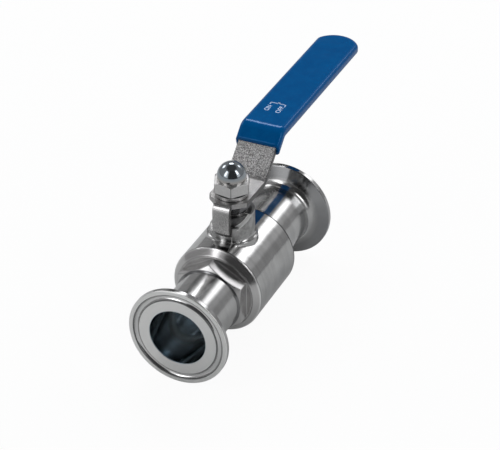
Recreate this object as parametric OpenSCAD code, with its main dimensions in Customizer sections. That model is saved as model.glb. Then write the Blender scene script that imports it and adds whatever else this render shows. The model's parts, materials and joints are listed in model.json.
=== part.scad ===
// Sanitary ball valve with clamp ends and a bent lever in a dipped sleeve.
// The origin is the centre of the inlet clamp face. The flow runs along +X and the stem points up, +Z.
// The valve is open at rest: the lever lies over the outlet, along the flow.

/* [Clamp ends] */
// Outside diameter of the tube at both ends
tube_od = 31.8; // [30:0.1:34]
// Wall of the tube
tube_wall = 1.5; // [1:0.1:2]
// Outside diameter of the clamp rim
rim_od = 50.5; // [49:0.1:54]
// Thickness of the clamp rim at its edge
rim_t = 2.85; // [2.2:0.05:4]
// Slope of the rim's back face, in degrees
rim_slope = 20; // [12:1:26]
// Rounding of the rim's edges
rim_round = 0.5; // [0.2:0.1:0.8]
// Fillet between the rim's back face and the tube
rim_fillet = 4; // [2:0.5:6]
// Diameter of the gasket groove at its middle
groove_d = 43; // [42:0.1:44]
// Width of the gasket groove
groove_w = 3; // [2:0.1:3.6]
// Depth of the gasket groove
groove_depth = 1.4; // [0.8:0.1:1.5]
// Leg of the weld bead where a tube meets the valve
weld_leg = 0.8; // [0.4:0.1:1.2]

/* [Lengths along the flow] */
// Stem axis to the inlet clamp face
inlet_len = 61; // [54:0.5:80]
// Stem axis to the outlet clamp face
outlet_len = 63.2; // [54:0.1:80]
// Stem axis to the body's inlet end
body_in = 20.5; // [19.8:0.1:24]
// Stem axis to the body's outlet end
body_out = 22.6; // [18.5:0.1:26]

/* [Valve body] */
// Outside diameter of the body
body_od = 46; // [44.5:0.1:50]
// Length of the shoulder at the body's inlet end
shoulder_len = 3; // [1:0.1:4]
// Drop of the shoulder, from the body's side inwards
shoulder_drop = 3; // [1:0.05:3]
// Chamfer at the body's outlet end
body_chamfer = 0.6; // [0.3:0.1:1.5]

/* [End cap] */
// Width across the flats of the end cap's hexagon
cap_af = 33; // [32:0.5:36]
// Length of the end cap's hexagon
cap_hex_len = 7.5; // [5:0.1:12]
// Diameter of the thread that screws into the body
cap_thread_d = 39; // [38.6:0.1:39.6]
// Length of the lip around the inlet seat
seat_lip = 6; // [4:0.1:6.5]

/* [Ball and seats] */
// Diameter of the ball
ball_d = 36; // [35:0.1:36.4]
// Diameter of the port through the ball
port_d = 24; // [18:0.5:25]
// Outside diameter of the seats
seat_od = 35.2; // [34.4:0.1:35.6]
// Stem axis to the back face of each seat
seat_back = 15.5; // [14.5:0.1:16]
// Running clearance between the ball and each seat
seat_gap = 0.1; // [0.05:0.01:0.15]
// Clearance between the ball and the body's cavity
cavity_gap = 0.4; // [0.3:0.05:0.6]
// Thickness of the body gasket
gasket_t = 1; // [0.6:0.1:1.5]

/* [Stem] */
// Diameter of the stem in its packing
stem_d = 11; // [10.6:0.1:12]
// Diameter of the stem's threaded end
thread_d = 10; // [9.6:0.1:10.4]
// Width across the flats that drive the lever
stem_flats = 7.4; // [6.5:0.1:8.2]
// Width of the tang that turns the ball
tang_w = 6.8; // [5:0.1:8]
// Length of the tang
tang_len = 11; // [8:0.5:13]
// Depth of the slot in the ball
slot_depth = 4.5; // [3:0.1:5]
// Clearance around the tang in the ball's slot
tang_gap = 0.15; // [0.1:0.05:0.3]
// Diameter of the collar that holds the stem in
collar_d = 16; // [14:0.5:17]
// Height of the stem's collar
collar_h = 3; // [2:0.1:3.5]
// Thickness of the thrust washer
thrust_t = 1.1; // [0.8:0.1:1.5]
// Running clearance around and under the stem
stem_gap = 0.1; // [0.05:0.01:0.1]
// Section of the stem's O-ring
oring_d = 1.5; // [1.2:0.1:1.6]

/* [Neck and packing] */
// Outside diameter of the neck
neck_d = 21.8; // [21.4:0.1:24]
// Height of the neck above the flow axis
neck_h = 35.5; // [34:0.1:40]
// How far the neck's foot stands out at its sides
neck_flare = 1.6; // [0.5:0.1:2.5]
// Height of that foot
flare_h = 5.5; // [4:0.5:8]
// Height of the foot's straight part
foot_straight = 3.2; // [1:0.1:3.5]
// Width of the foot along the flow, as a share of its width across
foot_share = 0.92; // [0.9:0.01:1]
// How far the neck is cut back where the tab swings
neck_relief = 1.7; // [0.6:0.1:1.7]
// Height where that relief starts
relief_h = 26; // [25:0.1:27]
// Height of the body's web under the packing
web_h = 2.3; // [1.8:0.1:3]
// Slope of the ramp from the stop lug up to the neck's rim, in degrees
ramp_slope = 36; // [25:1:45]
// Diameter of the packing box
box_d = 15.6; // [15:0.1:16]
// Height of the lower packing ring at its rim
base_h = 1.5; // [1:0.1:2]
// Height of each middle packing ring
vee_h = 2; // [1.5:0.1:2.5]
// Height of the upper packing ring
cap_ring_h = 1.5; // [1.2:0.1:2.5]
// Rise of the packing's vee
vee_rise = 0.8; // [0.4:0.1:1]
// How far the gland ring stands above the neck
gland_proud = 0.6; // [0.4:0.1:1.5]
// Thickness of each cupped spring washer
cup_t = 0.5; // [0.4:0.1:0.8]
// Height of the cup of each spring washer
cup_rise = 0.2; // [0.15:0.05:0.4]
// Width across the flats of the packing nut
packing_nut_af = 16.5; // [15.5:0.5:18]
// Height of the packing nut
packing_nut_h = 3.5; // [2:0.1:4]

/* [Stop] */
// Width of each stop lug
lug_w = 3; // [2.5:0.1:5]
// Reach of the stop lugs from the stem axis
lug_reach = 11.4; // [11.2:0.1:12.6]
// Height of the stop lugs above the flow axis
lug_h = 31.1; // [30:0.1:33]
// How far the ramp's foot lies below the top of the stop lug
ramp_sunk = 1.2; // [0.6:0.1:2]
// Clearance between the tab and a stop lug
stop_gap = 0.15; // [0.1:0.05:0.3]
// Turn of the lever from open to closed, in degrees
turn = 90; // [90:1:90]

/* [Lever] */
// Width of the lever
lever_w = 19.8; // [17:0.1:22]
// Thickness of the lever's plate
lever_t = 2.6; // [2:0.1:3.2]
// Stem axis to the lever's end
lever_len = 136.2; // [90:0.1:160]
// Slope of the lever's riser, in degrees
lever_slope = 42; // [32:1:50]
// Stem axis to the foot of the riser
riser_x = 16.1; // [13:0.1:20]
// Rise from the hub plate to the grip
lever_rise = 17.6; // [12:0.1:26]
// Inner radius at the foot of the riser
foot_r = 3; // [2:0.1:5]
// Inner radius at the top of the riser
crown_r = 3.6; // [2.5:0.1:5]
// Radius of the lever's rounded end
end_r = 11.2; // [11:0.1:16]
// Corner radius between the lever's end and its sides
lever_corner = 3; // [2:0.5:6]
// Width of the stop tab
tab_w = 8.6; // [6:0.1:9]
// Depth of the stop tab below the hub plate
tab_drop = 12.4; // [11.5:0.1:13]
// Clearance between the tab and the neck's relief
tab_gap = 1; // [0.4:0.1:1.4]
// Inner radius of the tab's bend
tab_bend_r = 1; // [0.6:0.1:1.5]
// Length of the tapered nose between the tab and the full width
nose_len = 4.6; // [3:0.1:6]
// Corner radius where the nose meets the sides
nose_round = 2; // [1:0.1:3]

/* [Sleeve] */
// Wall of the dipped sleeve
sleeve_wall = 1.6; // [1:0.1:2]
// Rounding of the sleeve's long edges
sleeve_round = 2.2; // [1:0.1:2.5]
// Length of bare riser below the sleeve, along the slope
bare_riser = 15.5; // [8:0.1:18]
// Slant of the sleeve's open end, in degrees
lip_slant = 29; // [0:1:35]

/* [Top fasteners] */
// Width across the flats of the cap nut
cap_nut_af = 16.2; // [15:0.1:18]
// Height of the cap nut's hexagon
cap_nut_hex_h = 6.3; // [5:0.1:8]
// Diameter of the cap nut's dome
dome_d = 14; // [12:0.1:15]
// Height of the dome's straight base
dome_base = 1.6; // [0.8:0.1:3]
// Outside diameter of the split spring washer
split_od = 16; // [14:0.1:16.2]
// Thickness of the split spring washer
split_t = 2.4; // [1.6:0.1:3]
// Width of the gap in the split spring washer
split_gap = 1; // [0.6:0.1:1.6]

/* [Hidden] */
$fn = 72;
fit_gap = 0.05;
past = 1;
rim_r = rim_od / 2;
tube_r = tube_od / 2;
bore_r = tube_r - tube_wall;
body_r = body_od / 2;
ball_r = ball_d / 2;
port_r = port_d / 2;
seat_r = seat_od / 2;
cavity_r = ball_r + cavity_gap;
cap_thread_r = cap_thread_d / 2;
spigot_end = seat_back - seat_lip;
thread_end = spigot_end - gasket_t;
cap_face = body_in + cap_hex_len;

stem_r = stem_d / 2;
thread_r = thread_d / 2;
collar_r = collar_d / 2;
collar_gap = 3 * stem_gap;
collar_z = cavity_r;
thrust_z = collar_z + collar_h;
web_z = thrust_z + thrust_t + stem_gap;
box_z = web_z + web_h;
box_r = box_d / 2;
neck_r = neck_d / 2;
relief_r = neck_r - neck_relief;
flare_z = box_z - flare_h;
oring_z = web_z + web_h / 2;
oring_r = stem_r + stem_gap / 2 - oring_d / 2;
oring_groove_h = oring_d + 0.3;

vee_z = box_z + base_h;
top_ring_z = vee_z + 2 * vee_h;
gland_z = top_ring_z + cap_ring_h;
gland_top = neck_h + gland_proud;
cups_z = gland_top + fit_gap;
cups_h = 2 * (cup_t + cup_rise);
cup_gap = 4 * fit_gap;
packing_nut_z = cups_z + cups_h;
plate_z = packing_nut_z + packing_nut_h;
plate_top = plate_z + lever_t;
cap_nut_z = plate_top + split_t;
dome_z = cap_nut_z + cap_nut_hex_h + dome_base;
stem_top = dome_z + 1.2;
hole_top = stem_top + 0.3;
hex_chamfer = 0.15;
split_turn = 120;
split_slant = 20;

tab_in = relief_r + tab_gap;
tab_out = tab_in + lever_t;
half_slope = lever_slope / 2;
foot_x = riser_x - foot_r * tan(half_slope);
grip_z = plate_z + lever_rise;
crown_x = riser_x + lever_rise / tan(lever_slope) + (crown_r + lever_t) * tan(half_slope);
sleeve_w = lever_w + 2 * sleeve_wall;
sleeve_t = lever_t + 2 * sleeve_wall;
edge_r = min(sleeve_round, 0.48 * sleeve_t);
grip_mid = grip_z + lever_t / 2;
end_x = lever_len - end_r;
end_turn = asin((lever_w / 2 - lever_corner) / (end_r - lever_corner));
corner_x = end_x + (end_r - lever_corner) * cos(end_turn);
nut_turn = 22;
packing_nut_turn = 47.5;

// Shared shapes and placing

// Moves a piece drawn about the valve's centre into the part's frame
module placed() {
    translate([inlet_len, 0, 0]) children();
}

// Turns a shape drawn about +Z so that it runs along +X
module along_x() {
    rotate([0, 90, 0]) children();
}

// Points on an arc, both ends included
function arc(centre, r, from, to, steps) =
    [for (i = [0 : steps]) let (a = from + (to - from) * i / steps) centre + r * [cos(a), sin(a)]];

// A wedge of a disc, between two angles
module wedge(r, from, to) {
    polygon(concat([[0, 0]], arc([0, 0], r, from, to, 4)));
}

// A flat ring between two radii
module washer(r_in, r_out, h) {
    rotate_extrude() translate([r_in, 0]) square([r_out - r_in, h]);
}

// A hexagon nut body, chamfered at its top and, if asked, at its foot
module hex_prism(af, h, top_chamfer = true, foot_chamfer = false) {
    corner_r = af / sqrt(3);
    flat_r = af / 2 - hex_chamfer;
    drop = (corner_r - flat_r) * tan(30);
    top = top_chamfer ? drop : 0;
    foot = foot_chamfer ? drop : 0;
    intersection() {
        cylinder(r = corner_r, h = h, $fn = 6);
        rotate_extrude() polygon([[0, 0], [foot_chamfer ? flat_r : corner_r, 0], [corner_r, foot],
            [corner_r, h - top], [top_chamfer ? flat_r : corner_r, h], [0, h]]);
    }
}

// Clamp ferrules

// Half section of a ferrule: radius across, distance from the clamp face up
function ferrule_section(len) =
    let (
        edge = [rim_r - rim_round, rim_t - rim_round],
        out = [sin(rim_slope), cos(rim_slope)],
        back = edge * out + rim_round,
        fillet_s = (back + rim_fillet - out[0] * (tube_r + rim_fillet)) / out[1],
        fillet = [tube_r + rim_fillet, fillet_s]
    )
    concat(
        [[bore_r, 0]],
        arc([rim_r - rim_round, rim_round], rim_round, -90, 0, 4),
        arc(edge, rim_round, 0, 90 - rim_slope, 4),
        arc(fillet, rim_fillet, 270 - rim_slope, 180, 8),
        [[tube_r, len - weld_leg], [tube_r + weld_leg, len], [bore_r, len]]
    );

module ferrule(len) {
    groove_arc = (groove_w * groove_w / 4 + groove_depth * groove_depth) / (2 * groove_depth);
    rotate_extrude() difference() {
        polygon(ferrule_section(len));
        translate([groove_d / 2, groove_depth - groove_arc]) circle(groove_arc);
    }
}

module inlet_ferrule() {
    color("silver") along_x() ferrule(inlet_len - cap_face);
}

module outlet_ferrule() {
    color("silver") placed() translate([outlet_len, 0, 0]) mirror([1, 0, 0])
        along_x() ferrule(outlet_len - body_out);
}

// Body with its neck and stop lugs

module barrel() {
    along_x() rotate_extrude() polygon([
        [0, -body_in],
        [body_r - shoulder_drop, -body_in],
        [body_r, shoulder_len - body_in],
        [body_r, body_out - body_chamfer],
        [body_r - body_chamfer, body_out],
        [0, body_out]
    ]);
}

// Room inside the body: end cap thread, ball cavity, outlet seat pocket and bore
module flow_room() {
    along_x() rotate_extrude() polygon([
        [0, -body_in - past],
        [cap_thread_r + fit_gap, -body_in - past],
        [cap_thread_r + fit_gap, -thread_end],
        [cavity_r, -thread_end],
        [cavity_r, spigot_end],
        [seat_r + fit_gap, spigot_end],
        [seat_r + fit_gap, seat_back],
        [bore_r, seat_back],
        [bore_r, body_out + past],
        [0, body_out + past]
    ]);
}

// Room in the neck for the stem's collar, the stem and the packing
module stem_room() {
    cylinder(r = collar_r + collar_gap, h = web_z);
    cylinder(r = stem_r + stem_gap, h = neck_h);
    translate([0, 0, box_z]) cylinder(r = box_r, h = neck_h);
}

// Outer layer of the neck, cut back along the tab's way
module neck_layer() {
    tab_angle = asin((tab_w / 2 + stop_gap) / tab_in);
    cut = 2 * neck_r;
    difference() {
        cylinder(r = neck_r, h = neck_h);
        translate([0, 0, relief_h]) linear_extrude(neck_h)
            wedge(cut, 180 - turn - tab_angle, 180 + tab_angle);
        translate([-relief_r, 0, lug_h - ramp_sunk]) rotate([0, -ramp_slope, 0])
            translate([-cut / 2, -cut, 0]) cube([2 * cut, cut, cut]);
    }
}

// Block that stops the tab, drawn for the open end of the turn
module stop_lug() {
    intersection() {
        cylinder(r = lug_reach, h = lug_h);
        translate([-lug_reach, -tab_w / 2 - stop_gap - lug_w, 0])
            cube([lug_reach - box_r, lug_w, lug_h]);
    }
}

// Oval foot of the neck: straight where it meets the body's side, hollowed above
module neck_foot() {
    foot_r = neck_r + neck_flare;
    hollow = [for (p = arc([1, 1], 1, 270, 180, 6))
        [neck_r + neck_flare * p[0], foot_straight + (flare_h - foot_straight) * p[1]]];
    translate([0, 0, flare_z]) scale([foot_share, 1, 1]) rotate_extrude()
        polygon(concat([[0, 0], [foot_r, 0]], hollow, [[0, flare_h]]));
}

module neck() {
    cylinder(r = relief_r, h = neck_h);
    neck_layer();
    neck_foot();
    stop_lug();
    rotate([0, 0, -turn]) mirror([0, 1, 0]) stop_lug();
}

module body() {
    color("silver") placed() difference() {
        union() {
            barrel();
            neck();
        }
        flow_room();
        stem_room();
    }
}

// End cap that screws into the body and holds the inlet seat

module end_cap() {
    color("lightgray") placed() difference() {
        union() {
            translate([-body_in, 0, 0]) mirror([1, 0, 0]) along_x() hex_prism(cap_af, cap_hex_len);
            translate([-body_in, 0, 0]) along_x() cylinder(r = cap_thread_r, h = body_in - spigot_end);
        }
        translate([-cap_face - past, 0, 0]) along_x() cylinder(r = bore_r, h = cap_face);
        translate([-seat_back, 0, 0]) along_x() cylinder(r = seat_r + fit_gap, h = seat_back);
    }
}

// Ball, seats and gasket

module ball() {
    color("gainsboro") placed() difference() {
        sphere(r = ball_r);
        translate([-ball_r - past, 0, 0]) along_x() cylinder(r = port_r, h = ball_d + 2 * past);
        translate([-tang_w / 2 - tang_gap, -ball_r, ball_r - slot_depth])
            cube([tang_w + 2 * tang_gap, ball_d, slot_depth + past]);
    }
}

// Half section of a seat: a ring with a round face that fits the ball
module seat() {
    rotate_extrude() difference() {
        translate([port_r, spigot_end]) square([seat_r - port_r, seat_back - spigot_end]);
        circle(ball_r + seat_gap);
    }
}

module outlet_seat() {
    color("white") placed() along_x() seat();
}

module inlet_seat() {
    color("white") placed() mirror([1, 0, 0]) along_x() seat();
}

module body_gasket() {
    color("white") placed() translate([-spigot_end, 0, 0]) along_x()
        washer(cavity_r, cap_thread_r, gasket_t);
}

// Stem and what seals it

module stem() {
    color("lightgray") placed() difference() {
        union() {
            translate([-tang_w / 2, -tang_len / 2, ball_r - slot_depth + 2 * tang_gap])
                cube([tang_w, tang_len, collar_z - ball_r + slot_depth]);
            translate([0, 0, collar_z]) cylinder(r = collar_r, h = collar_h);
            translate([0, 0, collar_z]) cylinder(r = stem_r, h = gland_top - collar_z);
            translate([0, 0, collar_z]) cylinder(r = thread_r, h = plate_z - collar_z);
            translate([0, 0, plate_z - past]) intersection() {
                cylinder(r = thread_r, h = stem_top - plate_z + past);
                translate([-thread_r, -stem_flats / 2, 0]) cube([thread_d, stem_flats, stem_top]);
            }
        }
        translate([0, 0, oring_z - oring_groove_h / 2])
            washer(oring_r - oring_d / 2, stem_r + past, oring_groove_h);
    }
}

module stem_o_ring() {
    color("black") placed() translate([0, 0, oring_z])
        rotate_extrude() translate([oring_r, 0]) circle(oring_d / 2);
}

module thrust_washer() {
    color("white") placed() translate([0, 0, thrust_z + stem_gap])
        washer(stem_r + stem_gap, collar_r, thrust_t);
}

// Half section of a packing ring, with a vee at its foot, its top or both
module packing_ring(z, h, foot_vee, top_vee) {
    r_in = stem_r + stem_gap;
    r_out = box_r - fit_gap;
    r_mid = (r_in + r_out) / 2;
    translate([0, 0, z]) rotate_extrude() polygon([
        [r_in, 0],
        [r_mid, foot_vee ? vee_rise : 0],
        [r_out, 0],
        [r_out, h],
        [r_mid, h + (top_vee ? vee_rise : 0)],
        [r_in, h]
    ]);
}

module packing_base_ring() {
    color("white") placed() packing_ring(box_z, base_h, false, true);
}

module lower_vee_ring() {
    color("ivory") placed() packing_ring(vee_z, vee_h, true, true);
}

module upper_vee_ring() {
    color("ivory") placed() packing_ring(vee_z + vee_h, vee_h, true, true);
}

module packing_top_ring() {
    color("white") placed() packing_ring(top_ring_z, cap_ring_h, true, false);
}

module gland_ring() {
    color("silver") placed() translate([0, 0, gland_z])
        washer(stem_r + 2 * stem_gap, box_r - 2 * fit_gap, gland_top - gland_z);
}

// Two cupped washers, laid back to back
module cupped_spring_washers() {
    r_in = thread_r + fit_gap;
    r_out = box_r - cup_gap;
    section = [[r_out, 0], [r_out, cup_t], [r_in, cup_t + cup_rise], [r_in, cup_rise]];
    color("gray") placed() translate([0, 0, cups_z]) {
        rotate_extrude() polygon(section);
        translate([0, 0, cups_h]) mirror([0, 0, 1]) rotate_extrude() polygon(section);
    }
}

module packing_nut() {
    color("silver") placed() translate([0, 0, packing_nut_z]) rotate([0, 0, packing_nut_turn])
        difference() {
            hex_prism(packing_nut_af, packing_nut_h, true, true);
            translate([0, 0, -past]) cylinder(r = thread_r + fit_gap, h = packing_nut_h + 2 * past);
        }
}

// Lever: one strip of plate, bent down at the tab and up to the grip

// Point on the riser, by its distance up the slope and its height over the riser's inner side
function on_riser(along, up) =
    [foot_x, plate_top + foot_r] + along * [cos(lever_slope), sin(lever_slope)]
    + (up - foot_r) * [-sin(lever_slope), cos(lever_slope)];

// Side view of the strip, along its top and back along its underside
module lever_side() {
    tab_bend = [tab_bend_r - tab_in, plate_z - tab_bend_r];
    foot = [foot_x, plate_top + foot_r];
    crown = [crown_x, grip_z - crown_r];
    polygon(concat(
        [[-tab_out, plate_z - tab_drop]],
        arc(tab_bend, tab_bend_r + lever_t, 180, 90, 6),
        arc(foot, foot_r, -90, lever_slope - 90, 6),
        arc(crown, crown_r + lever_t, lever_slope + 90, 90, 6),
        [[lever_len, grip_z + lever_t], [lever_len, grip_z]],
        arc(crown, crown_r, 90, lever_slope + 90, 6),
        arc(foot, foot_r + lever_t, lever_slope - 90, -90, 6),
        arc(tab_bend, tab_bend_r, 90, 180, 4),
        [[-tab_in, plate_z - tab_drop]]
    ));
}

// Half outline of the lever's end seen from above, from its side to its tip, grown by a margin
function end_outline(margin) = concat(
    arc([corner_x, lever_w / 2 - lever_corner], lever_corner + margin, 90, end_turn, 4),
    arc([end_x, 0], end_r + margin, end_turn * 7 / 8, 0, 7)
);

// Plan of the lever: tab, tapered nose, parallel sides and a rounded end
module lever_plan() {
    half = lever_w / 2;
    tab_half = tab_w / 2;
    nose_x = tab_bend_r - tab_in;
    nose_angle = atan2(half - tab_half, nose_len);
    turn_back = nose_round * tan(nose_angle / 2);
    side = concat(
        [[-tab_out, tab_half], [nose_x, tab_half]],
        arc([nose_x + nose_len + turn_back, half - nose_round], nose_round, 90 + nose_angle, 90, 5),
        end_outline(0)
    );
    polygon(concat(side, [for (i = [len(side) - 2 : -1 : 0]) [side[i][0], -side[i][1]]]));
}

module lever_blank() {
    intersection() {
        translate([0, lever_w / 2, 0]) rotate([90, 0, 0]) linear_extrude(lever_w) lever_side();
        linear_extrude(grip_z + lever_t) lever_plan();
    }
}

module lever() {
    color("darkgray") placed() difference() {
        lever_blank();
        translate([0, 0, plate_z - past]) intersection() {
            cylinder(r = thread_r + fit_gap, h = lever_t + 2 * past);
            translate([-thread_d, -stem_flats / 2 - fit_gap, 0])
                cube([2 * thread_d, stem_flats + 2 * fit_gap, lever_t + 2 * past]);
        }
    }
}

// Sleeve dipped over the grip and the top of the riser, open at its slanted lip

// Points round a bar's section, with round corners
function bar_ring(w, t, r) = [for (corner = [0 : 3])
    let (sx = [1, -1, -1, 1][corner], sy = [1, 1, -1, -1][corner])
    each arc([sx * (w / 2 - r), sy * (t / 2 - r)], r, 90 * corner, 90 * corner + 90, 5)];

// Ring of a section in space: its middle in the side view, its slope and thickness
function sleeve_ring(middle, slope, t) = [for (p = bar_ring(sleeve_w, t, edge_r))
    [middle[0] - p[1] * sin(slope), p[0], middle[1] + p[1] * cos(slope)]];

// Rings from the slanted lip up the riser and round the crown
function riser_rings() = let (mid = lever_t / 2, crown = [crown_x, grip_z - crown_r]) concat(
    [sleeve_ring(on_riser(bare_riser, -mid), lever_slope - lip_slant, sleeve_t / cos(lip_slant))],
    [for (p = arc(crown, crown_r + mid, lever_slope + 90, 90, 8))
        sleeve_ring(p, asin((crown_x - p[0]) / (crown_r + mid)), sleeve_t)]
);

// Level outlines round the grip from its underside to its top, drawn in where its edges are round
function grip_layers() = [for (side = [-1, 1], a = [45 * side - 45 : 18 : 45 * side + 45])
    let (
        half = end_outline(sleeve_wall - edge_r * (1 - cos(a))),
        level = grip_mid + side * (sleeve_t / 2 - edge_r) + edge_r * sin(a)
    )
    concat(
        [[crown_x, -half[0][1], level]],
        [for (p = half) [p[0], -p[1], level]],
        [for (i = [len(half) - 2 : -1 : 0]) [half[i][0], half[i][1], level]],
        [[crown_x, half[0][1], level]]
    )];

// Closed skin over a row of rings with equal numbers of points
module skin(rings) {
    n = len(rings[0]);
    last = (len(rings) - 1) * n;
    sides = [for (k = [0 : len(rings) - 2], i = [0 : n - 1])
        let (a = k * n + i, b = k * n + (i + 1) % n)
        each [[a, b, a + n], [b, b + n, a + n]]];
    polyhedron(
        points = [for (ring = rings) each ring],
        faces = concat(sides, [[for (i = [n - 1 : -1 : 0]) i]], [[for (i = [0 : n - 1]) last + i]])
    );
}

module lever_sleeve() {
    color("royalblue") placed() difference() {
        union() {
            skin(riser_rings());
            skin(grip_layers());
        }
        lever_blank();
    }
}

// Fasteners on top of the lever

module split_spring_washer() {
    color("gray") placed() translate([0, 0, plate_top]) difference() {
        washer(thread_r + fit_gap, split_od / 2, split_t);
        rotate([0, 0, split_turn]) translate([0, 0, split_t / 2]) rotate([split_slant, 0, 0])
            translate([0, -split_gap / 2, -split_t]) cube([split_od, split_gap, 2 * split_t]);
    }
}

module cap_nut() {
    color("silver") placed() translate([0, 0, cap_nut_z]) difference() {
        union() {
            rotate([0, 0, nut_turn]) hex_prism(cap_nut_af, cap_nut_hex_h, true, true);
            translate([0, 0, cap_nut_hex_h - past]) cylinder(d = dome_d, h = dome_base + past);
            translate([0, 0, cap_nut_hex_h + dome_base]) intersection() {
                sphere(d = dome_d);
                cylinder(d = dome_d + past, h = dome_d);
            }
        }
        translate([0, 0, -past]) cylinder(r = thread_r + fit_gap, h = hole_top - cap_nut_z + past);
    }
}

body();
end_cap();
inlet_ferrule();
outlet_ferrule();
ball();
inlet_seat();
outlet_seat();
body_gasket();
stem();
thrust_washer();
stem_o_ring();
packing_base_ring();
lower_vee_ring();
upper_vee_ring();
packing_top_ring();
gland_ring();
cupped_spring_washers();
packing_nut();
lever();
lever_sleeve();
split_spring_washer();
cap_nut();
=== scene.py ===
"""Sanitary ball valve: finishes, dipped sleeve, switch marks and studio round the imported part."""
import json
import math
import bmesh
import bpy
from mathutils import Matrix, Vector


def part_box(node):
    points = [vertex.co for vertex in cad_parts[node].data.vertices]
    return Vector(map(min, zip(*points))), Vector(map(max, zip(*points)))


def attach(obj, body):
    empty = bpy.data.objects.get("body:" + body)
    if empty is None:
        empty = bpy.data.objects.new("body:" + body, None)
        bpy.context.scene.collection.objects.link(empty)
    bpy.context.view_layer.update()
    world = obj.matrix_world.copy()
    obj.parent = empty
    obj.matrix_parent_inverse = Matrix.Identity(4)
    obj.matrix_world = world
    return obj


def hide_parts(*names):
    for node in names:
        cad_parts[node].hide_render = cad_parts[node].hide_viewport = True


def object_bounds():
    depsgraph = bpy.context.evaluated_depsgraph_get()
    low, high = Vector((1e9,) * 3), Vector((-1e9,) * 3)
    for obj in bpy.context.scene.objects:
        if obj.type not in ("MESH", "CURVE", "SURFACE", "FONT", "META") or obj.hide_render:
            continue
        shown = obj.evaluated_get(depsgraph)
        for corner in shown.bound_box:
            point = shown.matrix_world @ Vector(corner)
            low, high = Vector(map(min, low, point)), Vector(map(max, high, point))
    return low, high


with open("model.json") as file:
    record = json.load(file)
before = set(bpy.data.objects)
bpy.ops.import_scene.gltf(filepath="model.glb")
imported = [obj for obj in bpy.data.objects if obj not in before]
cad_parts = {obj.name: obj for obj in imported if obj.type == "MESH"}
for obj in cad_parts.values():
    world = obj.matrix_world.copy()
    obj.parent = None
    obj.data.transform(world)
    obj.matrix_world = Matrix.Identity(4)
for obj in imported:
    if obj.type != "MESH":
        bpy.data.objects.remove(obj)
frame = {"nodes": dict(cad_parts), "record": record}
cad_low, cad_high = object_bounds()

# Sizes in millimetres: x and y from the stem axis, z from the flow axis
STEM_X = frame["record"]["behaviour"]["joints"][0]["pos_m"][0] * 1000


def at(x, y, z):
    """A point given in millimetres about the stem, in the part's frame."""
    return Vector(((x + STEM_X) / 1000, y / 1000, z / 1000))


def corners(node):
    """A node's lowest and highest corners, in millimetres about the stem."""
    return [(round(corner.x * 1000 - STEM_X, 2), round(corner.y * 1000, 2), round(corner.z * 1000, 2))
            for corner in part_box(node)]


# The clamp faces, the welds and the body's ends
inlet_low, inlet_high = corners("inlet_ferrule")
outlet_low, outlet_high = corners("outlet_ferrule")
body_low, body_high = corners("body")
INLET_X, OUTLET_X = inlet_low[0], outlet_high[0]
FACES_MIDDLE = (INLET_X + OUTLET_X) / 2
FACES_APART = OUTLET_X - INLET_X
BORE_R = 14.4
GROOVE_R = 21.5
GROOVE_HALF = 1.5
WELD_HALF = 0.4
WELDS_X = (inlet_high[0] - WELD_HALF, outlet_low[0] + WELD_HALF)
SHOULDER_X = body_low[0] + 3.0
CHAMFER_X = body_high[0] - 0.6

# The neck
NECK_FOOT_R = 12.5
NECK_Z = 25.0
RELIEF_R = 9.2
RELIEF_Z = 26.0
RAMP_X = -9.2
RAMP_Z = 29.9
RAMP_SLOPE = math.radians(36)

# The lever and the nut on it
plate_low, plate_high = corners("lever")
PLATE_T = 2.6
PLATE_TOP = corners("split_spring_washer")[0][2]
NUT_FOOT = corners("cap_nut")[0][2]
NUT_CORNER = 22
DOME_FOOT = NUT_FOOT + 6.35
GRIP_Z = plate_high[2] - PLATE_T
LEVER_W = plate_high[1] - plate_low[1]
TAB_HALF = 4.3
LEVER_END = plate_high[0]
END_R = 11.2
LEVER_CORNER = 3.0
END_X = LEVER_END - END_R
END_TURN = math.asin((LEVER_W / 2 - LEVER_CORNER) / (END_R - LEVER_CORNER))
CORNER_X = END_X + (END_R - LEVER_CORNER) * math.cos(END_TURN)
SLOPE = math.radians(42)
RISER_X = 16.1
RISER_UP = GRIP_Z + PLATE_T - PLATE_TOP
FOOT_R = 3.0
CROWN_R = 3.6
FOOT_X = RISER_X - FOOT_R * math.tan(SLOPE / 2)
CROWN_X = RISER_X + RISER_UP / math.tan(SLOPE) + (CROWN_R + PLATE_T) * math.tan(SLOPE / 2)

# The sleeve, its lip and the print on it
SLEEVE_TOP = corners("lever_sleeve")[1][2]
SLEEVE_WALL = SLEEVE_TOP - plate_high[2]
SLEEVE_ROUND = 2.2
BARE_RISER = 15.5
LIP_SLANT = math.radians(29)
LIP_DEPTH = 0.75
LIP_SWELL = 0.12
INNER_GAP = 0.02
INNER_ROUND = 0.08
PRINT_SUNK = 0.02
PRINT_PROUD = 0.03
RISER_STEPS, CROWN_STEPS, TIP_STEPS, LIP_STEPS = 6, 16, 24, 8


# Shader values and finishes

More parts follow.
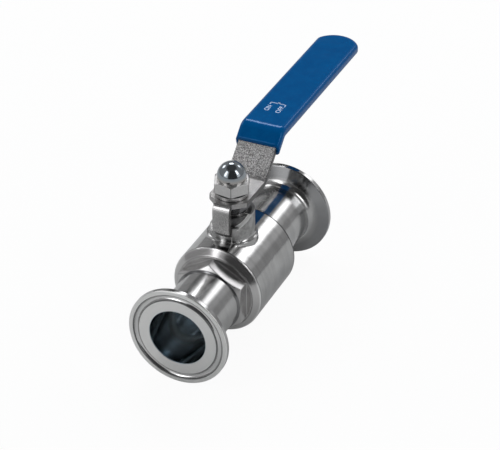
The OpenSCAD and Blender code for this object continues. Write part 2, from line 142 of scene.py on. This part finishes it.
class Value:
    """A socket in a material that takes part in sums."""

    def __init__(self, finish, socket):
        self.finish = finish
        self.socket = socket

    def math(self, operation, *others):
        return self.finish.add("ShaderNodeMath", {"operation": operation}, [self, *others])

    def __add__(self, other):
        return self.math("ADD", other)

    __radd__ = __add__

    def __mul__(self, other):
        return self.math("MULTIPLY", other)

    __rmul__ = __mul__

    def __sub__(self, other):
        return self.math("SUBTRACT", other)

    def __rsub__(self, other):
        return self.finish.add("ShaderNodeMath", {"operation": "SUBTRACT"}, [other, self])

    def __neg__(self):
        return self * -1

    def __pow__(self, other):
        return self.math("POWER", other)

    def __abs__(self):
        return self.math("ABSOLUTE")

    def clamp(self):
        return self.finish.add("ShaderNodeClamp", {}, [self])

    def rise(self, low, high):
        """0 below low, 1 above high, smooth between."""
        return self.finish.add("ShaderNodeMapRange", {"interpolation_type": "SMOOTHSTEP"},
                               {"Value": self, "From Min": low, "From Max": high})

    def near(self, place, inner, outer):
        """1 up to an inner distance from a place, 0 past an outer one, smooth between."""
        return 1 - abs(self - place).rise(inner, outer)


class Finish:
    """A material and the nodes that make it."""

    def __init__(self, name, tree=None):
        if tree is None:
            self.material = bpy.data.materials.new(name)
            self.material.use_nodes = True
            tree = self.material.node_tree
        self.tree = tree
        self.tree.nodes.clear()

    def add(self, kind, settings, sockets, out=0):
        """Adds one node: its settings first, then the values or links of its sockets."""
        node = self.tree.nodes.new(kind)
        for name, value in settings.items():
            setattr(node, name, value)
        for key, value in (sockets.items() if isinstance(sockets, dict) else enumerate(sockets)):
            if isinstance(value, Value):
                self.tree.links.new(value.socket, node.inputs[key])
            else:
                node.inputs[key].default_value = value
        return Value(self, node.outputs[out]) if node.outputs else None

    def place(self):
        """The point on the part in millimetres about the stem and the flow axis."""
        point = self.add("ShaderNodeTexCoord", {}, {}, "Object")
        return self.add("ShaderNodeMapping", {}, {
            "Vector": point, "Location": (-STEM_X, 0, 0), "Scale": (1000, 1000, 1000)})

    def ray(self, kind):
        """1 for a ray of this kind, as Light Path names it."""
        return self.add("ShaderNodeLightPath", {}, {}, kind)

    def split(self, vector):
        node = self.add("ShaderNodeSeparateXYZ", {}, [vector])
        return [Value(self, output) for output in node.socket.node.outputs]

    def join(self, x, y, z=0.0):
        return self.add("ShaderNodeCombineXYZ", {}, [x, y, z])

    def noise(self, vector, scale, detail=2.0, rough=0.5):
        return self.add("ShaderNodeTexNoise", {}, {
            "Vector": vector, "Scale": scale, "Detail": detail, "Roughness": rough})

    def mix(self, factor, first, second):
        """A colour between two colours."""
        return self.add("ShaderNodeMix", {"data_type": "RGBA"}, {0: factor, 6: first, 7: second}, 2)

    def relief(self, height, depth, base=None):
        """A normal bent by a height from 0 to 1 that is depth metres deep."""
        sockets = {"Height": height, "Strength": 1.0, "Distance": depth}
        if base is not None:
            sockets["Normal"] = base
        return self.add("ShaderNodeBump", {}, sockets)

    def soft_edges(self, radius):
        """A normal that rounds the mesh's edges by a radius in metres."""
        return self.add("ShaderNodeBevel", {"samples": 6}, {"Radius": radius})

    def close(self, sockets):
        """Puts the surface shader on the material."""
        shader = self.add("ShaderNodeBsdfPrincipled", {}, sockets)
        self.add("ShaderNodeOutputMaterial", {}, {"Surface": shader})
        return self.material


def rgb(r, g, b):
    """A colour for a socket, from its values on a screen, 0 to 255."""
    def linear(c):
        c /= 255
        return c / 12.92 if c <= 0.04045 else ((c + 0.055) / 1.055) ** 2.4
    return (linear(r), linear(g), linear(b), 1)


STEEL = rgb(196, 196, 195)
STEEL_DULL = rgb(176, 176, 175)


def lathe_lines(f, x, radius, fine, wide):
    """Lines left by turning and polishing about the flow axis: a fine and a wide noise, 0 to 1."""
    across = f.join(x, radius)
    return f.noise(across, fine, 3.0, 0.6), f.noise(across, wide, 1.0)


def turned_steel():
    """Ferrules: turned, then polished round the tube, with painted shade on the back cone and along the
    groove's rims.
    """
    f = Finish("turned_steel")
    place = f.place()
    x, y, z = f.split(place)
    radius = (y * y + z * z) ** 0.5
    over_face = abs(x - FACES_MIDDLE) - FACES_APART / 2
    groove = over_face.rise(-2.1, -1.8) * radius.near(GROOVE_R, GROOVE_HALF - 0.2, GROOVE_HALF)
    # Painted shade: dark lines along the groove's rims.
    lip = over_face.rise(-1.0, -0.7) * abs(radius - GROOVE_R).near(GROOVE_HALF, 0.1, 0.25)
    face = over_face.rise(-0.8, -0.3) * (1 - groove)
    bore = 1 - radius.rise(BORE_R + 0.1, BORE_R + 0.2)
    back = radius.rise(18.0, 20.5) * (1 - over_face.rise(-2.6, -2.2))
    tube = radius.rise(15.0, 15.2) * (1 - radius.rise(18.0, 20.0))
    welds_middle, welds_half = sum(WELDS_X) / 2, (WELDS_X[1] - WELDS_X[0]) / 2
    weld = abs(x - welds_middle).near(welds_half, 0.4, 0.7)
    lines, bands = lathe_lines(f, x, radius, 4.0, 0.4)
    cloud = f.noise(place, 0.12, 2.0)
    tone = lines * 0.25 + cloud * 0.4 + bands * 0.35
    colour = f.mix(tone.rise(0.3, 0.7), STEEL_DULL, STEEL)
    # Painted shade: the back cone is toned darker.
    colour = f.mix(back * 0.85, colour, rgb(156, 157, 158))
    colour = f.mix(weld * 0.6, colour, rgb(70, 72, 76))
    colour = f.mix(face, colour, rgb(238, 238, 236))
    colour = f.mix(groove, colour, rgb(218, 218, 217))
    # Painted shade on the groove's rims.
    colour = f.mix(lip * 0.75, colour, rgb(66, 68, 71))
    colour = f.mix(bore, colour, rgb(196, 208, 216))
    return f.close({
        "Base Color": colour, "Metallic": 1.0,
        "Roughness": lines * 0.04 + cloud * 0.05 + tube * 0.07 + face * 0.2 + 0.06,
        "Normal": f.relief(lines, 1.5e-6, f.soft_edges(0.0003))})


def polished_body():
    """Body: a polished barrel, a satin neck with a painted highlight on its ramp, and a shoulder left as
    turned, with a painted highlight and a painted shade line at its edge; painted shade at the barrel's
    end and in the relief.
    """
    f = Finish("polished_body")
    place = f.place()
    x, y, z = f.split(place)
    out = (x * x + y * y) ** 0.5
    neck = (1 - out.rise(NECK_FOOT_R + 0.1, NECK_FOOT_R + 0.5)) * z.rise(NECK_Z - 1.5, NECK_Z)
    # Painted shade: the relief's recessed wall under the lever is coloured near black.
    relief = (1 - out.rise(RELIEF_R + 0.2, RELIEF_R + 0.3)) * z.rise(RELIEF_Z, RELIEF_Z + 0.4)
    into_shoulder = SHOULDER_X - x
    shoulder = into_shoulder.rise(-0.05, 0.1)
    # Painted highlight: a bright line along the shoulder's outer edge.
    painted_edge_highlight = shoulder * (1 - into_shoulder.rise(0.4, 0.8))
    # Painted shade: a dark line at the chamfer where the barrel ends.
    end_shade_line = x.rise(CHAMFER_X - 0.8, CHAMFER_X - 0.6) * (1 - x.rise(CHAMFER_X - 0.1, CHAMFER_X + 0.1))
    over_ramp = (z - RAMP_Z) - (x - RAMP_X) * math.tan(RAMP_SLOPE)
    # Painted highlight, partly: the ramp's face is paler and less metallic; its extra roughness is its
    # machined finish.
    ramp = over_ramp.near(0, 0.1, 0.3) * (-y).rise(0.0, 0.5) * z.rise(RAMP_Z - 0.2, RAMP_Z)
    lines, bands = lathe_lines(f, x, (y * y + z * z) ** 0.5, 3.5, 0.5)
    wave = f.noise(place, 0.16, 2.0, 0.4)
    grain = f.noise(place, 2.2, 3.0, 0.6)
    smudge = f.noise(place, 0.3, 2.0)
    stain = grain.rise(0.35, 0.65) * 0.3 + smudge.rise(0.4, 0.6) * 0.5
    tone = lines * 0.2 + bands * 0.3 + wave * 0.5
    colour = f.mix(tone.rise(0.3, 0.7), STEEL_DULL, STEEL)
    colour = f.mix(shoulder, colour, rgb(198, 197, 196))
    # Painted highlight along the shoulder's edge.
    colour = f.mix(painted_edge_highlight * 0.7, colour, rgb(246, 246, 245))
    # Painted shade: a dark line just past the shoulder's edge, beside the painted highlight.
    colour = f.mix(into_shoulder.near(-0.3, 0.1, 0.3) * 0.6, colour, rgb(70, 72, 75))
    # Painted shade at the barrel's end and on the relief's wall.
    colour = f.mix((end_shade_line + relief).clamp() * 0.9, colour, rgb(40, 41, 43))
    colour = f.mix(ramp, colour, rgb(240, 240, 238))
    colour = f.mix(neck * (1 - ramp) * stain, colour, rgb(128, 128, 127))
    satin = neck * (grain * 0.12 + 0.2)
    return f.close({
        "Base Color": colour, "Metallic": 1 - ramp * 0.4,
        "Roughness": lines * 0.04 + satin + shoulder * 0.1 + ramp * 0.3 + 0.08,
        "Normal": f.relief(lines * 0.02 + wave, 0.00008, f.soft_edges(0.0009))})


def polished_hex():
    """End cap: a forged hexagon with soft, buffed corners."""
    f = Finish("polished_hex")
    place = f.place()
    wave = f.noise(place, 0.11, 2.0, 0.4)
    grain = f.noise(place, 1.6, 3.0, 0.6)
    tone = (wave * 0.6 + grain * 0.4).rise(0.3, 0.7)
    return f.close({
        "Base Color": f.mix(tone, rgb(182, 181, 180), rgb(206, 205, 204)), "Metallic": 1.0,
        "Roughness": grain * 0.1 + 0.2,
        "Normal": f.relief(wave, 0.0003, f.soft_edges(0.0008))})


def blasted_plate():
    """Lever: rolled plate, blasted to an even sparkling grain, smoother on the tab and the hub, with
    painted shade toning the hub darker.
    """
    f = Finish("blasted_plate")
    place = f.place()
    x, y, z = f.split(place)
    side = abs(y)
    tab = (-x).rise(9.0, 11.0)
    hub = 1 - z.rise(PLATE_TOP + 0.25, PLATE_TOP + 1.15)
    long_edge = side.rise(LEVER_W / 2 - 0.22, LEVER_W / 2 - 0.12)
    tab_edge = side.rise(TAB_HALF - 0.2, TAB_HALF - 0.1) * (-x).rise(9.6, 9.9)
    cut_edge = (long_edge + tab_edge).clamp()
    coarse = f.noise(place, 1.4, 3.0, 0.75)
    fine = f.noise(place, 3.2, 2.0, 0.7)
    grain = coarse * 0.55 + fine * 0.45
    colour = f.mix(grain.rise(0.42, 0.6), rgb(124, 123, 122), rgb(245, 244, 243))
    # Painted shade: the hub is toned darker as well as smoother.
    colour = f.mix(hub * 0.8, colour, rgb(168, 167, 166))
    colour = f.mix(tab, colour, rgb(194, 193, 192))
    colour = f.mix(cut_edge * 0.75, colour, rgb(74, 74, 75))
    depth = grain * (1 - hub * 0.5 - tab * 0.72)
    return f.close({
        "Base Color": colour, "Metallic": 1.0,
        "Roughness": 0.54 - grain * 0.25 - tab * 0.14,
        "Normal": f.relief(depth, 0.0002, f.soft_edges(0.0003))})


def domed_nut():
    """Cap nut: a mirror dome over satin hexagon faces, with painted shade down the corners, a painted
    shadow at the foot and a painted reflection in a paler band round the dome's base.
    """
    f = Finish("domed_nut")
    place = f.place()
    x, y, z = f.split(place)
    dome = z.rise(DOME_FOOT, DOME_FOOT + 0.4)
    # Painted reflection: a paler band round the foot of the mirror dome.
    collar_reflection = dome * (1 - z.rise(DOME_FOOT + 1, DOME_FOOT + 3))
    # Painted shadow: a near-black band at the nut's foot where it sits on the washer.
    foot = 1 - z.rise(NUT_FOOT + 0.55, NUT_FOOT + 0.75)
    turn = y.math("ARCTAN2", x) * (180 / math.pi)
    past_corner = (turn + (750 - NUT_CORNER)).math("MODULO", 60)
    # Painted shade: dark lines down the hexagon's corners.
    corner = past_corner.near(30, 0.8, 1.8) * (1 - z.rise(DOME_FOOT - 1, DOME_FOOT - 0.7))
    grain = f.noise(place, 1.8, 3.0, 0.7)
    colour = f.mix(grain.rise(0.35, 0.65), STEEL, rgb(212, 211, 210))
    colour = f.mix(dome, colour, rgb(164, 171, 176))
    colour = f.mix(collar_reflection, colour, rgb(178, 176, 173))
    colour = f.mix(corner * 0.6, colour, rgb(70, 70, 72))
    colour = f.mix(foot, colour, rgb(22, 22, 24))
    return f.close({
        "Base Color": colour, "Metallic": 1.0,
        "Roughness": (1 - dome) * (grain * 0.12 + 0.22) + 0.1,
        "Normal": f.relief(grain * (1 - dome), 0.00001, f.soft_edges(0.0003))})


def plain_steel(name, tint, roughness, shaded_gaps=()):
    """Small pieces turned about the stem, with painted shade lines, by level and half width, where they
    meet the parts beside them.
    """
    f = Finish(name)
    place = f.place()
    x, y, z = f.split(place)
    radius = (x * x + y * y) ** 0.5
    lines = f.noise(f.join(z, radius), 5.0, 2.0)
    grain = f.noise(place, 2.0, 3.0, 0.6)
    tone = (lines * 0.5 + grain * 0.5).rise(0.3, 0.7)
    colour = f.mix(tone, tuple(c * 0.8 for c in tint[:3]) + (1,), tint)
    # Painted shade: near-black lines where each piece meets the next.
    for level, half in shaded_gaps:
        colour = f.mix(z.near(level, half, half + 0.15) * 0.85, colour, rgb(34, 34, 36))
    return f.close({
        "Base Color": colour, "Metallic": 1.0,
        "Roughness": lines * 0.08 + grain * 0.06 + roughness,
        "Normal": f.relief(lines, 3e-6, f.soft_edges(0.0002))})


def bright_ball():
    """Ball: ground and polished all over."""
    f = Finish("bright_ball")
    place = f.place()
    scuff = f.noise(place, 0.5, 4.0, 0.7)
    return f.close({
        "Base Color": f.mix(scuff, STEEL_DULL, STEEL), "Metallic": 1.0,
        "Roughness": scuff * 0.08 + 0.05,
        "Normal": f.relief(scuff, 1e-5)})


def moulded(name, low, high, roughness, grain_scale):
    """Seats, packing and seals: pressed plastic or rubber with a faint mottle."""
    f = Finish(name)
    place = f.place()
    mottle = f.noise(place, grain_scale, 3.0, 0.6)
    return f.close({
        "Base Color": f.mix(mottle.rise(0.3, 0.7), low, high),
        "Roughness": mottle * 0.15 + roughness,
        "Normal": f.relief(mottle, 1e-5)})


def dipped_vinyl():
    """Sleeve: thick glossy vinyl, with the faint swells of a dipped skin."""
    f = Finish("dipped_vinyl")
    place = f.place()
    swell = f.noise(place, 0.09, 1.0)
    skin = f.noise(place, 1.1, 3.0, 0.6)
    cloud = f.noise(place, 0.2, 2.0)
    tone = (cloud * 0.6 + skin * 0.4).rise(0.3, 0.7)
    return f.close({
        "Base Color": f.mix(tone, rgb(0, 80, 140), rgb(0, 88, 149)),
        "Specular IOR Level": 0.3, "Specular Tint": (0.22, 0.5, 1, 1),
        "Roughness": skin * 0.04 + cloud * 0.03 + 0.06,
        "Normal": f.relief(swell * 0.95 + skin * 0.05, 0.00025)})


def print_ink():
    """Switch marks: pale ink, thin in places."""
    f = Finish("print_ink")
    place = f.place()
    wear = f.noise(place, 2.5, 3.0, 0.6)
    return f.close({
        "Base Color": f.mix(wear.rise(0.3, 0.62), rgb(150, 180, 226), rgb(205, 222, 248)),
        "Roughness": wear * 0.2 + 0.35})


FINISHES = {
    "turned_steel": turned_steel(),
    "polished_body": polished_body(),
    "polished_hex": polished_hex(),
    "blasted_plate": blasted_plate(),
    "domed_nut": domed_nut(),
    # The split washer gets painted shade lines where it meets the plate and the nut.
    "washer_steel": plain_steel("washer_steel", rgb(206, 205, 204), 0.2,
                                [(PLATE_TOP, 0.25), (NUT_FOOT, 0.3)]),
    # Painted shade: a darker copy of the steel for the packing nut and cupped washers under the lever.
    "shaded_nut_steel": plain_steel("shaded_nut_steel", rgb(112, 112, 114), 0.1),
    "machined_steel": plain_steel("machined_steel", rgb(178, 178, 178), 0.2),
    "bright_ball": bright_ball(),
    "white_ptfe": moulded("white_ptfe", rgb(222, 222, 216), rgb(240, 240, 236), 0.4, 0.8),
    "black_rubber": moulded("black_rubber", rgb(18, 18, 19), rgb(30, 30, 31), 0.5, 1.5),
    "dipped_vinyl": dipped_vinyl(),
    "print_ink": print_ink(),
}

NODE_FINISH = {
    "body": "polished_body", "end_cap": "polished_hex",
    "inlet_ferrule": "turned_steel", "outlet_ferrule": "turned_steel",
    "ball": "bright_ball", "inlet_seat": "white_ptfe", "outlet_seat": "white_ptfe",
    "body_gasket": "white_ptfe", "stem": "machined_steel", "thrust_washer": "white_ptfe",
    "stem_o_ring": "black_rubber", "packing_base_ring": "white_ptfe",
    "lower_vee_ring": "white_ptfe", "upper_vee_ring": "white_ptfe",
    "packing_top_ring": "white_ptfe", "gland_ring": "washer_steel",
    "cupped_spring_washers": "shaded_nut_steel", "packing_nut": "shaded_nut_steel",
    "lever": "blasted_plate", "lever_sleeve": "dipped_vinyl",
    "split_spring_washer": "washer_steel", "cap_nut": "domed_nut",
}
for node, finish in NODE_FINISH.items():
    for slot in frame["nodes"][node].material_slots:
        slot.material = FINISHES[finish]


# Mesh helpers

def new_piece(name, bm, finish):
    """An object at the origin with this mesh and finish."""
    mesh = bpy.data.meshes.new(name)
    bm.to_mesh(mesh)
    bm.free()
    mesh.materials.append(FINISHES[finish])
    piece = bpy.data.objects.new(name, mesh)
    bpy.context.scene.collection.objects.link(piece)
    return piece


def close_mesh(bm):
    """Merges points that lie on each other and turns the faces outwards."""
    bmesh.ops.remove_doubles(bm, verts=bm.verts, dist=1e-7)
    bmesh.ops.recalc_face_normals(bm, faces=bm.faces)


def arc(centre, r, start, end, steps):
    """Points on an arc, both ends included, angles in radians."""
    turns = [start + (end - start) * i / steps for i in range(steps + 1)]
    return [(centre[0] + r * math.cos(a), centre[1] + r * math.sin(a)) for a in turns]


def bar_section(w, t, r, steps=8):
    """Points round a bar's section with round corners, and a few along its flats."""
    quarter = math.pi / 2
    points = []
    for corner, (sx, sy) in enumerate([(1, 1), (-1, 1), (-1, -1), (1, -1)]):
        middle = (sx * (w / 2 - r), sy * (t / 2 - r))
        points += arc(middle, r, quarter * corner, quarter * (corner + 1), steps)
        last = points[-1]
        flat = w - 2 * r if corner in (0, 2) else t - 2 * r
        step = [(-1, 0), (0, -1), (1, 0), (0, 1)][corner]
        for share in (0.04, 0.3, 0.7, 0.96):
            points.append((last[0] + step[0] * flat * share, last[1] + step[1] * flat * share))
    return points


def lever_ring(middle, slope, section, stretch=1.0):
    """A section in space about a point of the lever's side view, stretched up and down."""
    along, rise = stretch * math.sin(slope), stretch * math.cos(slope)
    return [at(middle[0] - up * along, side, middle[1] + up * rise) for side, up in section]


def on_riser(along, up):
    """A point by its distance up the riser and its height over the riser's upper face."""
    c, s = math.cos(SLOPE), math.sin(SLOPE)
    lift = up - FOOT_R
    return (FOOT_X + along * c - lift * s, PLATE_TOP + FOOT_R + along * s + lift * c)


def end_point(turn, margin):
    """A point on the lever's end seen from above, by the way its edge faces, grown by a margin."""
    centre, r = (END_X, 0.0), END_R + margin
    if turn > END_TURN:
        centre, r = (CORNER_X, LEVER_W / 2 - LEVER_CORNER), LEVER_CORNER + margin
    return centre[0] + r * math.cos(turn), centre[1] + r * math.sin(turn)


def wrap_rings(wall, round_r, start):
    """Rings of a skin that lies a wall outside the plate, from a place on the riser to the tip."""
    w, t = LEVER_W + 2 * wall, PLATE_T + 2 * wall
    section = bar_section(w, t, round_r)
    mid = PLATE_T / 2
    crown_centre = (CROWN_X, GRIP_Z - CROWN_R)
    crown = arc(crown_centre, CROWN_R + mid, SLOPE + math.pi / 2, math.pi / 2, CROWN_STEPS)
    foot = on_riser(start, -mid)
    rings = []
    for i in range(RISER_STEPS):
        share = i / RISER_STEPS
        slant = LIP_SLANT * (1 - share)
        middle = [low + (high - low) * share for low, high in zip(foot, crown[0])]
        rings.append(lever_ring(middle, SLOPE - slant, section, 1 / math.cos(slant)))
    for i, middle in enumerate(crown):
        rings.append(lever_ring(middle, SLOPE * (1 - i / CROWN_STEPS), section))
    for share in (0.02, 0.25, 0.5, 0.75, 0.98, 1.0):
        middle = (CROWN_X + (CORNER_X - CROWN_X) * share, GRIP_Z + mid)
        rings.append(lever_ring(middle, 0, section))
    for i in range(1, TIP_STEPS + 1):
        ring = []
        turn = math.pi / 2 * (1 - i / TIP_STEPS)
        for side, up in section:
            x, y = end_point(turn, wall - min(w / 2 - abs(side), round_r))
            reach = min(abs(side) / (w / 2 - round_r), 1.0)
            ring.append(at(x, math.copysign(y * reach, side), GRIP_Z + mid + up))
        rings.append(ring)
    return rings


def lip_rings():
    """Rings round the sleeve's open end, from the plate out to the sleeve's outer skin."""
    rings = []
    for i in range(1, LIP_STEPS):
        a = math.pi * i / LIP_STEPS
        wall = SLEEVE_WALL / 2 * (1 - math.cos(a)) + INNER_GAP
        swell = wall + LIP_SWELL * math.sin(a) * (i / LIP_STEPS)
        round_r = INNER_ROUND + (SLEEVE_ROUND - INNER_ROUND) * (wall / SLEEVE_WALL)
        section = bar_section(LEVER_W + 2 * swell, PLATE_T + 2 * swell, round_r)
        middle = on_riser(BARE_RISER + LIP_DEPTH * (1 - math.sin(a)), -PLATE_T / 2)
        rings.append(lever_ring(middle, SLOPE - LIP_SLANT, section, 1 / math.cos(LIP_SLANT)))
    return rings


def skin_over(bm, rings):
    """Faces between neighbouring rings."""
    rows = [[bm.verts.new(p) for p in ring] for ring in rings]
    n = len(rows[0])
    for a, b in zip(rows, rows[1:]):
        for i in range(n):
            j = (i + 1) % n
            bm.faces.new((a[i], a[j], b[j], b[i]))


# Dipped sleeve: a closed sock, from its inner tip out over the lip to its outer tip

def make_sleeve():
    inner = wrap_rings(INNER_GAP, INNER_ROUND, BARE_RISER)
    outer = wrap_rings(SLEEVE_WALL, SLEEVE_ROUND, BARE_RISER + LIP_DEPTH + 0.05)
    bm = bmesh.new()
    skin_over(bm, list(reversed(inner)) + lip_rings() + outer)
    close_mesh(bm)
    for face in bm.faces:
        face.smooth = True
    sleeve = new_piece("dipped_grip", bm, "dipped_vinyl")
    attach(sleeve, "lever_group")
    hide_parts("lever_sleeve")


# Switch marks: ON, OFF and a bracket that points to the grip

def word(letters, left, low, wide, high, foot_z):
    """A word's mesh, fitted into a box on the sleeve's top face."""
    text = bpy.data.curves.new(letters, "FONT")
    text.body = letters
    text.offset = 0.012
    text.extrude = 0.01
    holder = bpy.data.objects.new(letters, text)
    bpy.context.scene.collection.objects.link(holder)
    graph = bpy.context.evaluated_depsgraph_get()
    mesh = bpy.data.meshes.new_from_object(holder.evaluated_get(graph))
    bpy.data.objects.remove(holder)
    places = [v.co.copy() for v in mesh.vertices]
    start = [min(p[axis] for p in places) for axis in range(3)]
    size = [max(p[axis] for p in places) - start[axis] for axis in range(3)]
    for v in mesh.vertices:
        along, across, up = [(v.co[axis] - start[axis]) / size[axis] for axis in range(3)]
        v.co = at(left + wide * along, low + high * across, foot_z + (PRINT_SUNK + PRINT_PROUD) * up)
    return mesh


def stroke(bm, points, width, low, high):
    """A thin raised line through points on the sleeve's top face; its legs overlap at the corners."""
    for (x0, y0), (x1, y1) in zip(points, points[1:]):
        long = math.hypot(x1 - x0, y1 - y0)
        ux, uy = (x1 - x0) / long, (y1 - y0) / long
        nx, ny = -uy * width / 2, ux * width / 2
        ex, ey = ux * width * 0.35, uy * width * 0.35
        foot = [(x0 - ex + nx, y0 - ey + ny), (x0 - ex - nx, y0 - ey - ny),
                (x1 + ex - nx, y1 + ey - ny), (x1 + ex + nx, y1 + ey + ny)]
        base = [bm.verts.new(at(x, y, low)) for x, y in foot]
        top = [bm.verts.new(at(x, y, high)) for x, y in foot]
        bm.faces.new(top)
        bm.faces.new(list(reversed(base)))
        for i in range(4):
            j = (i + 1) % 4
            bm.faces.new((base[i], base[j], top[j], top[i]))


def make_marks():
    low, high = SLEEVE_TOP - PRINT_SUNK, SLEEVE_TOP + PRINT_PROUD
    bracket = [(55.3, 4.9), (57.0, 4.9), (57.0, 1.7), (58.2, 1.0), (57.0, 0.3), (57.0, -2.9), (55.3, -2.9)]
    bm = bmesh.new()
    bm.from_mesh(word("ON", 48.7, 3.0, 5.2, 2.5, low))
    bm.from_mesh(word("OFF", 48.5, -3.1, 6.4, 2.5, low))
    stroke(bm, bracket, 0.55, low, high)
    close_mesh(bm)
    marks = new_piece("switch_marks", bm, "print_ink")
    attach(marks, "lever_group")


make_sleeve()
make_marks()


# Studio

FLOOR_R = 6.0
TENT_R = 2.2
AIM = at(5, 0, 15)
WALL_TONE, ROOF_TONE, DARK_TONE = 0.32, 0.08, 0.05

# Lit parts of the tent: middle and half size by azimuth and elevation, width of the edge, gain
LIT_PARTS = [((156, 27), (15, 22), 5, 0.7), ((150, 32), (8, 18.5), 8, 2.4),
             ((-97, 31), (12, 25), 5, 0.7), ((-98, 40), (7.5, 14), 7, 3.5),
             ((25, 47.5), (15, 6), 5, 0.7), ((26, 47), (12, 5.5), 8, 7.5),
             ((-23, 33.5), (8, 6.5), 8, 2.6), ((-35, 21), (6, 6), 6, 0.22),
             ((72, 33), (11, 7), 5, 0.7), ((76, 33), (9.5, 8), 7, 2.3)]

# The camera's place in metres, and its turn about each axis in degrees
CAMERA_PLACE = (-0.65368, -0.3384, 0.5378)
CAMERA_TURN = (57.0813, 0.3444, -65.4975)


def stage_object(name, bm, material):
    """An object of the studio, which isn't part of the valve."""
    mesh = bpy.data.meshes.new(name)
    bm.to_mesh(mesh)
    bm.free()
    mesh.materials.append(material)
    thing = bpy.data.objects.new(name, mesh)
    bpy.context.scene.collection.objects.link(thing)
    return thing


def floor_paper():
    """Pale paper that reads white, with a soft shadow left on it."""
    f = Finish("floor_paper")
    camera = f.ray("Is Camera Ray")
    glossy = f.ray("Is Glossy Ray")
    through = f.ray("Is Transmission Ray")
    paper = f.mix(camera + through, (0.62, 0.62, 0.62, 1), (0.92, 0.92, 0.92, 1))
    plain = f.add("ShaderNodeBsdfDiffuse", {}, {"Color": paper})
    white = f.add("ShaderNodeEmission", {}, {"Color": (1, 1, 1, 1), "Strength": 1.0})
    share = camera * 0.94 + glossy * 0.06 + through * 0.94
    both = f.add("ShaderNodeMixShader", {}, [share, plain, white])
    f.add("ShaderNodeOutputMaterial", {}, {"Surface": both})
    return f.material


def make_floor():
    bm = bmesh.new()
    bmesh.ops.create_circle(bm, cap_ends=True, segments=64, radius=FLOOR_R)
    floor = stage_object("studio_floor", bm, floor_paper())
    floor.data.transform(Matrix.Translation((STEM_X / 1000, 0, cad_low.z)))


def window(azimuth, elevation, middle, half, soft):
    """1 inside a part of the tent, by its middle, half size and the width of its edge in degrees."""
    (a0, e0), (da, de) = middle, half
    turn = (azimuth - a0 + 540).math("MODULO", 360)
    across = turn.near(180, da - soft / 2, da + soft / 2)
    return across * elevation.near(e0, de - soft / 2, de + soft / 2)


def tent_cloth():
    """Grey cloth that only reflections see, dark above and on the camera's side, with lit parts."""
    f = Finish("tent_cloth")
    x, y, z = f.split(f.add("ShaderNodeTexCoord", {}, {}, "Object"))
    azimuth = y.math("ARCTAN2", x) * (180 / math.pi)
    elevation = z.math("ARCTAN2", (x * x + y * y) ** 0.5) * (180 / math.pi)
    wall = WALL_TONE + (ROOF_TONE - WALL_TONE) * elevation.rise(46, 64)
    dark = window(azimuth, elevation, (-147, 20), (36, 44), 3)
    shade = window(azimuth, elevation, (25, 29.5), (14, 6), 7)
    tone = (wall + (DARK_TONE - wall) * dark) * (1 - shade * 0.75)
    for middle, half, soft, gain in LIT_PARTS:
        tone = tone + window(azimuth, elevation, middle, half, soft) * gain
    colour = f.join(tone, tone, tone * 1.02)
    cloth = f.add("ShaderNodeEmission", {}, {"Color": colour, "Strength": 1.0})
    f.add("ShaderNodeOutputMaterial", {}, {"Surface": cloth})
    f.material.cycles.emission_sampling = "NONE"
    return f.material


def make_tent():
    bm = bmesh.new()
    bmesh.ops.create_uvsphere(bm, u_segments=64, v_segments=32, radius=TENT_R)
    tent = stage_object("light_tent", bm, tent_cloth())
    tent.location = AIM
    tent.visible_camera = tent.visible_shadow = tent.visible_diffuse = False
    tent.visible_transmission = False


def direction(azimuth, elevation):
    """A unit vector by its azimuth from +X and its elevation, in degrees."""
    a, e = math.radians(azimuth), math.radians(elevation)
    return Vector((math.cos(e) * math.cos(a), math.cos(e) * math.sin(a), math.sin(e)))


def softbox(name, azimuth, elevation, distance, wide, high, watts):
    """A soft lamp that faces the valve; reflections see the lit part of the tent in its place."""
    lamp = bpy.data.lights.new(name, "AREA")
    lamp.shape = "RECTANGLE"
    lamp.size, lamp.size_y = wide, high
    lamp.energy = watts
    holder = bpy.data.objects.new(name, lamp)
    bpy.context.scene.collection.objects.link(holder)
    way = direction(azimuth, elevation)
    holder.location = AIM + way * distance
    holder.rotation_euler = way.to_track_quat("Z", "Y").to_euler()
    holder.visible_glossy = False


def make_world():
    """White where it is seen, and a pale light all round that is stronger from behind the valve."""
    world = bpy.data.worlds.new("studio_world")
    bpy.context.scene.world = world
    world.use_nodes = True
    f = Finish("studio_world", world.node_tree)
    seen = f.ray("Is Camera Ray") + f.ray("Is Glossy Ray") + f.ray("Is Transmission Ray")
    backdrop = f.add("ShaderNodeBackground", {}, {"Color": (1, 1, 1, 1), "Strength": 1.0})
    x, y, z = f.split(f.add("ShaderNodeTexCoord", {}, {}, "Generated"))
    from_behind = (x * 0.9 + z * 0.3).rise(-0.6, 0.8)
    ambient = f.add("ShaderNodeBackground", {}, {
        "Color": (0.95, 0.97, 1, 1), "Strength": from_behind * 0.42 + 0.22})
    both = f.add("ShaderNodeMixShader", {}, [seen.clamp(), ambient, backdrop])
    f.add("ShaderNodeOutputWorld", {}, {"Surface": both})


def make_camera():
    """A long lens where the photograph was taken from."""
    lens = bpy.data.cameras.new("camera")
    lens.lens = 141.8
    lens.sensor_width = 36
    lens.clip_start, lens.clip_end = 0.05, 20
    camera = bpy.data.objects.new("camera", lens)
    bpy.context.scene.collection.objects.link(camera)
    camera.location = CAMERA_PLACE
    camera.rotation_euler = [math.radians(angle) for angle in CAMERA_TURN]
    bpy.context.scene.camera = camera


make_floor()
make_tent()
softbox("left_box", 150, 32, 1.1, 0.30, 0.75, 1.7)
softbox("right_box", -98, 40, 1.1, 0.28, 0.55, 1.7)
softbox("back_box", 26, 45, 1.2, 0.52, 0.26, 3.2)
softbox("back_right_box", -23.5, 35, 1.2, 0.23, 0.25, 1.1)
softbox("side_box", 76, 33, 1.2, 0.40, 0.35, 1.0)
make_world()
make_camera()

bpy.context.scene.view_settings.view_transform = "Standard"
